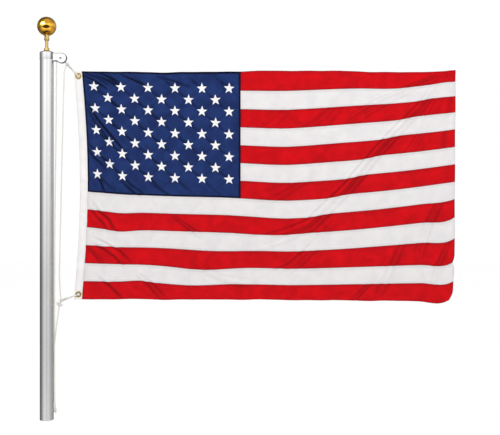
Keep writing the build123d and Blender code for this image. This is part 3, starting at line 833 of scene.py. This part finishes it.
TIE_FROM_LOWER_KNOT = Vector((4.5, 0, 7.5)) * MM


def near(centre, points, lean=0):
    """Points given in millimetres from a centre, about an axis that leans."""
    tilt = Matrix.Rotation(math.radians(lean), 3, "Y")
    return [centre + tilt @ Vector(point) * MM for point in points]


def over_sheave(corner_count=4):
    """The corners of the rope's path over the sheave, up to where the knot pulls it away."""
    reach = UPPER_KNOT - SHEAVE_CENTRE
    leave = math.atan2(reach.z, reach.x) + math.acos(ROPE_TURN_RADIUS / reach.length)
    step = (math.pi - leave) / corner_count
    corner = ROPE_TURN_RADIUS / math.cos(step / 2)
    angles = [math.pi - step * (number + 0.5) for number in range(corner_count)]
    return [SHEAVE_CENTRE + polar(corner, angle).xzy for angle in angles]


def knotted_loop(knot_centre, hole):
    """The corners of a loop from a knot through a grommet and back."""
    along = (hole - knot_centre).normalized()
    beside = Vector((-along.z, 0, along.x)) * STRAND_SKEW
    start = knot_centre + along * (KNOT_RADIUS - KNOT_SEAT)
    spread, offset = Vector((0, STRAND_SPREAD, 0)), Vector((0, STRAND_OFFSET, 0))
    before = hole - along * HOLE_APPROACH
    return [start - spread + beside, before - offset, hole - offset, hole + offset, before + offset,
            start + spread - beside]


def wraps(centre, lean, low, high, turns, radius, phase=0.0):
    """The corners of a line wound round a knot's leaning axis, and brought back over its own turns.

    Its heights and its radius are in millimetres, and its lean is in degrees.
    """
    corners = [(0, 0, low), polar(0.4 * radius, phase, low)]
    count = round(turns * 8)
    for number in range(count + 1):
        share = number / count
        angle = phase + 2 * math.pi * turns * share
        corners.append(polar(1.06 * radius, angle, low + (high - low) * share))
    middle, half = (low + high) / 2, (high - low) / 2
    for step, out, height in ((0.5, 1.35, 0.55), (0.95, 1.75, 0.0), (1.4, 1.35, -0.6), (1.8, 0.4, -0.9)):
        corners.append(polar(out * radius, angle + step, middle + half * height))
    return near(centre, corners, lean)


def knot_piece(place, lines, material):
    """A drawn-up knot made of wound lines, in place of the solid that holds its space."""
    mesh = rope_mesh(f"knot_{place}", [smooth_line(corners) for corners in lines], ROPE_RADIUS * 0.94)
    piece = finish_piece(f"knot_{place}", mesh, material)
    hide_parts(f"halyard_{place}_knot")
    return piece


# Stage. The camera's centre and the places of lamps are in metres.

SENSOR_WIDTH = 36.0
VIEW_CENTRE_X, VIEW_CENTRE_Z = 0.815, 0.810
AIM = Vector((0.8, 0, 0.9))
LAMPS = (
    ("key", (1.1, -3.2, 5.0), 1.0, 150), ("fill", (2.0, -3.6, 0.6), 2.4, 22),
    ("side", (-2.2, -2.8, 1.3), 1.6, 9), ("back", (0.8, 2.8, 2.3), 2.2, 30),
)
# Cards by the ball: name, place from its centre, width, height and strength.
CARDS = (
    ("white_card", (-0.15, -0.214, 0.105), 0.25, 0.15, 24.0),
    ("black_card", (0.006, -0.05, -0.0115), 0.056, 0.024, 0.06),
)
# How bright the studio is to polished metal: by degrees round it, and from straight below at -180
# to straight above at 180. It is bright in front, dark behind and below, with a seam on the right.
STUDIO_ROUND = (
    (-180, 0.32), (-150, 0.2), (-112, 0.13), (-84, 0.24), (-60, 0.5), (-40, 0.8), (-20, 0.97),
    (-2, 0.88), (14, 0.72), (34, 0.92), (54, 0.8), (76, 0.64), (102, 0.5), (134, 0.38), (160, 0.22),
)
STUDIO_UPWARDS = (
    (-180, 0.03), (-165, 0.1), (-140, 0.6), (-100, 0.85), (-63, 0.7), (-14, 0.5), (24, 1.0), (60, 1.0),
    (110, 0.5),
)


def set_camera(scene):
    sizes = scene.flagpole_sizes
    camera = bpy.data.cameras.new("camera")
    camera.sensor_width = SENSOR_WIDTH
    camera.lens = SENSOR_WIDTH * sizes.camera_distance / sizes.view_width
    camera.clip_end = 60
    holder = add_object("camera", camera)
    holder.location = (VIEW_CENTRE_X, -sizes.camera_distance, VIEW_CENTRE_Z)
    holder.rotation_euler = (math.pi / 2, 0, 0)
    scene.camera = holder
    scene.view_settings.view_transform = "Standard"


def glowing(name, strength):
    """A material that gives off light, with its tree, its plain shader and its glow."""
    material, tree, shader = new_material(name, Roughness=1.0)
    glow = add_node(tree, "Emission", inputs={"Strength": strength}).outputs["Emission"]
    return material, tree, shader, glow


def lay_floor():
    """A white floor that looks nearly blank to the camera and shows soft shadows."""
    bm = bmesh.new()
    bmesh.ops.create_grid(bm, x_segments=1, y_segments=1, size=14.0)
    floor = add_object("floor", mesh_from(bm, "floor"))
    material, tree, shader, glow = glowing("white_paper", 1.035)
    shader.inputs["Base Color"].default_value = linear("#F2F2F2")
    to_camera = add_node(tree, "LightPath").outputs["Is Camera Ray"]
    mix = add_node(tree, "MixShader", inputs={"Fac": ranged(tree, to_camera, 0.0, 1.0, 0.0, 0.94)})
    tree.links.new(shader.outputs["BSDF"], mix.inputs[1])
    tree.links.new(glow, mix.inputs[2])
    tree.links.new(mix.outputs["Shader"], tree.nodes["Material Output"].inputs["Surface"])
    floor.data.materials.append(material)
    floor.visible_glossy = False


def paint_studio(scene):
    """White surroundings to the camera, with what polished metal mirrors and a low even light."""
    scene.world = bpy.data.worlds.new("studio")
    scene.world.use_nodes = True
    tree = scene.world.node_tree
    maths = partial(add_maths, tree)
    rays = add_node(tree, "LightPath").outputs
    way = parts(tree, add_node(tree, "TexCoord").outputs["Generated"])
    turn = maths("ARCTAN2", way["X"], maths("MULTIPLY", way["Y"], -1.0))
    levels = []
    for value, limit, stops in ((turn, math.pi, STUDIO_ROUND), (way["Z"], 1.0, STUDIO_UPWARDS)):
        level = add_node(tree, "ValToRGB", inputs={"Fac": ranged(tree, value, -limit, limit)})
        ramp = level.color_ramp
        ramp.interpolation = "EASE"
        ramp.elements.remove(ramp.elements[1])
        for degrees, shade in stops:
            stop = ramp.elements.new((degrees + 180) / 360) if degrees > -180 else ramp.elements[0]
            stop.color = (shade, shade, shade, 1)
        levels.append(level.outputs["Color"])
    shine = maths("MULTIPLY", maths("MULTIPLY", maths("MULTIPLY", *levels), 1.75), rays["Is Glossy Ray"])
    dull = maths("MULTIPLY", rays["Is Diffuse Ray"], 0.36)
    clear = maths("MULTIPLY", maths("MAXIMUM", rays["Is Camera Ray"], rays["Is Transmission Ray"]), 1.02)
    background = tree.nodes["Background"].inputs
    background["Color"].default_value = (1, 1, 1, 1)
    tree.links.new(maths("MAXIMUM", maths("ADD", shine, dull), clear), background["Strength"])


def hang_lamps():
    for name, place, size, power in LAMPS:
        lamp = bpy.data.lights.new(name, "AREA")
        lamp.size = size
        lamp.energy = power
        holder = add_object(name, lamp)
        holder.location = Vector(place)
        holder.visible_glossy = False
        holder.rotation_euler = (AIM - Vector(place)).to_track_quat("-Z", "Y").to_euler()


def place_cards():
    """A white and a black card close to the ball, which alone shows them: its highlight and dark band."""
    ball = sum(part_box("ball"), Vector()) / 2
    lit_by_cards = bpy.data.collections.new("lit_by_cards")
    if "ball_surface" in bpy.data.objects:
        lit_by_cards.objects.link(bpy.data.objects["ball_surface"])
    for name, place, width, height, strength in CARDS:
        bm = bmesh.new()
        bmesh.ops.create_circle(bm, cap_ends=True, segments=32, radius=0.5)
        facing = (-Vector(place)).to_track_quat("Z", "Y").to_matrix().to_4x4()
        stand = Matrix.Translation(ball + Vector(place)) @ facing
        bmesh.ops.transform(bm, matrix=stand @ Matrix.Diagonal((width, height, 1, 1)), verts=bm.verts)
        card = add_object(name, mesh_from(bm, name))
        material, tree, _, glow = glowing(name, strength)
        tree.links.new(glow, tree.nodes["Material Output"].inputs["Surface"])
        card.data.materials.append(material)
        card.visible_camera = card.visible_diffuse = card.visible_shadow = False
        card.light_linking.receiver_collection = lit_by_cards


# What a user would change

def length(name, description, default):
    return FloatProperty(name=name, description=description, default=default, unit="LENGTH")


class FlagpoleColours(bpy.types.PropertyGroup):
    """The colours of the cloth"""
    red: StringProperty(name="Red", description="Colour of the dark stripes", default="#D90C17")
    white: StringProperty(name="White", description="Colour of the pale stripes", default="#EFECEC")
    blue: StringProperty(name="Blue", description="Colour of the canton", default="#23386F")
    header: StringProperty(name="Header", description="Colour of the canvas", default="#FDFBFA")


class FlagpoleSizes(bpy.types.PropertyGroup):
    """Sizes of the sewn work and of the picture"""
    star_radius: length("Star radius", "From a star's centre to its points", 22 * MM)
    seam_thickness: length("Seam thickness", "Thickness of the layers at a seam", 1.2 * MM)
    camera_distance: length("Camera distance", "From the camera to the pole's axis", 3.5)
    view_width: length("Width seen", "Width that the picture spans at the pole", 2.005)


class FLAGPOLE_OT_metal(bpy.types.Operator):
    """Finishes the pole, the truck, the sheave, the ball and the grommets"""
    bl_idname = "flagpole.metal"
    bl_label = "Finish the metal"

    def execute(self, context):
        tube = drawn_aluminium("anodised_drawn_aluminium", "#DCDCDC", "#CDCDCE", 0.2)
        # The casting's last colour is its painted shade.
        casting = cast_aluminium("bright_cast_aluminium", "#DADADB", "#CECED0", "#47474A")
        gilt = grained_metal("gold_anodised_aluminium", "#F5B944", "#EBAE3C", 0.05, 2.5, 0.0005)
        pale_gilt = grained_metal("gold_anodised_turned_rod", "#CDB474", "#BFA462", 0.04, 0.7, 0.0005, 0.2)
        steel = grained_metal("stainless_steel", "#A2A2A2", "#8E8E8E", 0.32, 0.5, 0.02)
        stamped = grained_metal("stamped_brass", "#B49C5C", "#786230", 0.12, 0.8, 0.002)
        smooth_copy("pole_tube", tube)
        smooth_copy("truck", casting)
        smooth_copy("sheave", moulded_nylon("moulded_nylon"), "sheave")
        smooth_copy("axle", steel)
        smooth_copy("ball", gilt)
        for node in ("lock_nut", "spindle", "collar"):
            smooth_copy(node, pale_gilt)
        for node in ("grommet_top", "grommet_bottom"):
            smooth_copy(node, stamped)
        return {"FINISHED"}


class FLAGPOLE_OT_flag(bpy.types.Operator):
    """Makes the header, the canton with its stars and the stripes"""
    bl_idname = "flagpole.flag"
    bl_label = "Make the flag"

    def execute(self, context):
        shades = context.scene.flagpole_colours
        # Each cloth's third colour is that of its seams and also its painted shade at folded edges and in
        # creases; the first number after the colours is the share of painted shade in the creases.
        red = sewn_cloth("red_nylon", (shades.red, "#C60A15", "#5E060E", "#DA202A"), 0.6, 1.8)
        white = sewn_cloth("white_nylon", (shades.white, "#E8E5E6", "#BDA9AB", "#F4F2F2"), 0.1, 0.9, 0.32)
        blue = sewn_cloth("blue_nylon", (shades.blue, "#1C2D5E", "#04071A", "#2C3E7A"), 0.95, 8.5)
        duck = sewn_cloth(
            "cotton_duck", (shades.header, "#F5F2F1", "#DCD8D2", "#FFFEFC"), 0.0, 1.2, 0.3, 1.3, (2.4, 5.2))
        band = header_piece(duck)
        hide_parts("header")
        cloth_piece("canton", blue, 0, CANTON_STRIPES, 0.0, CANTON_LENGTH, CANTON_STEP)
        for number in range(STRIPE_COUNT):
            left = CANTON_LENGTH if number < CANTON_STRIPES else 0.0
            cloth, slot = (white, "white_cloth") if number % 2 else (red, "red_cloth")
            cloth_piece(f"stripe_{number + 1:02d}", cloth, number, number + 1, left, FLAG_LENGTH)
        thread = embroidery("satin_stitch")
        stars_piece("stars_front", thread, 1)
        stars_piece("stars_back", thread, -1)
        return {"FINISHED"}


class FLAGPOLE_OT_halyard(bpy.types.Operator):
    """Makes the halyard, its loops and its knots"""
    bl_idname = "flagpole.halyard"
    bl_label = "Make the halyard"

    def execute(self, context):
        line = braided_polyester("braided_polyester")
        top_hole, bottom_hole = grommet_places()
        lower_knot = bottom_hole + LOWER_KNOT_FROM_HOLE
        corners = over_sheave()
        pull = (UPPER_KNOT - corners[-1]).normalized()
        end = UPPER_KNOT - pull * (KNOT_LENGTH / 2 - KNOT_SEAT)
        foot, sheave_level, upper_level, lower_level = (
            Vector((0, 0, height)) for height in (0, SHEAVE_CENTRE.z, UPPER_KNOT.z, lower_knot.z))
        routes = {
            "over_sheave": near(foot, FREE_FALL_FOOT) + near(sheave_level, FREE_FALL_TOP) + corners + [end],
            "flag_fall": near(upper_level, FLAG_FALL_TOP) + near(lower_level, FLAG_FALL_FOOT),
            "tail_fall": near(lower_level, TAIL_FALL_TOP) + near(foot, TAIL_FALL_FOOT),
            "top_loop": knotted_loop(UPPER_KNOT, top_hole),
            "bottom_loop": knotted_loop(lower_knot + TIE_FROM_LOWER_KNOT, bottom_hole),
        }
        long_knot = [
            # The standing part runs through the knot and meets both falls.
            near(lower_knot, [(3.3, 0, 20.5), (3.9, 0, 15), (4.2, 0, 10), (2, 0, 2), (-2.6, 0, -6),
                              (-3.8, 0, -13), (-4.2, 0, -20.5)]),
            wraps(lower_knot, 24, 2.5, 13, 2.2, 4.6),
            wraps(lower_knot, 28, -15.5, -4, 2.4, 5.4, 2.0),
            near(lower_knot, [(0, -1, -15), (-5, -4, -15), (-9, -5, -12), (-11, -4, -7), (-12, -3, -4)], 24),
            near(lower_knot, [(0, 1, -14), (5, 3, -14), (9, 3, -11), (11, 2, -7), (12, 2, -5)], 24),
        ]
        knots = {
            "over_sheave": knot_piece("foot", [wraps(FOOT_KNOT, 0, -9, 9, 3.6, 3.6, 0.5)], line),
            "flag_fall": knot_piece("upper", [wraps(UPPER_KNOT, -17, -6, 6, 2.5, 4.5, 1.0)], line),
            "tail_fall": knot_piece("lower", long_knot, line),
        }
        for name, route in routes.items():
            points = smooth_line(route)
            rope = rope_mesh(f"line_{name}", [points], ROPE_RADIUS)
            piece = finish_piece(rope.name, rope, line)
            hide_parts(f"halyard_{name}")
        return {"FINISHED"}


class FLAGPOLE_OT_stage(bpy.types.Operator):
    """Sets the floor, the white surroundings, the lamps and the camera"""
    bl_idname = "flagpole.stage"
    bl_label = "Set the stage"

    def execute(self, context):
        set_camera(context.scene)
        lay_floor()
        paint_studio(context.scene)
        hang_lamps()
        place_cards()
        return {"FINISHED"}


class FLAGPOLE_PT_panel(bpy.types.Panel):
    """Lists the settings and the steps"""
    bl_idname = "FLAGPOLE_PT_panel"
    bl_label = "Flagpole"
    bl_space_type = "VIEW_3D"
    bl_region_type = "UI"
    bl_category = "Flagpole"

    def draw(self, context):
        for group in (context.scene.flagpole_colours, context.scene.flagpole_sizes):
            for name in group.bl_rna.properties.keys():
                if name not in ("rna_type", "name"):
                    self.layout.prop(group, name)
        for operator in OPERATORS:
            self.layout.operator(operator.bl_idname)


OPERATORS = (FLAGPOLE_OT_halyard, FLAGPOLE_OT_metal, FLAGPOLE_OT_flag, FLAGPOLE_OT_stage)
CLASSES = (FlagpoleColours, FlagpoleSizes, *OPERATORS, FLAGPOLE_PT_panel)


def register():
    for cls in CLASSES:
        bpy.utils.register_class(cls)
    bpy.types.Scene.flagpole_colours = PointerProperty(type=FlagpoleColours)
    bpy.types.Scene.flagpole_sizes = PointerProperty(type=FlagpoleSizes)


def unregister():
    del bpy.types.Scene.flagpole_sizes
    del bpy.types.Scene.flagpole_colours
    for cls in reversed(CLASSES):
        bpy.utils.unregister_class(cls)


def main():
    register()
    bpy.ops.flagpole.halyard()
    bpy.ops.flagpole.metal()
    bpy.ops.flagpole.flag()
    bpy.ops.flagpole.stage()


if __name__ == "__main__":
    main()
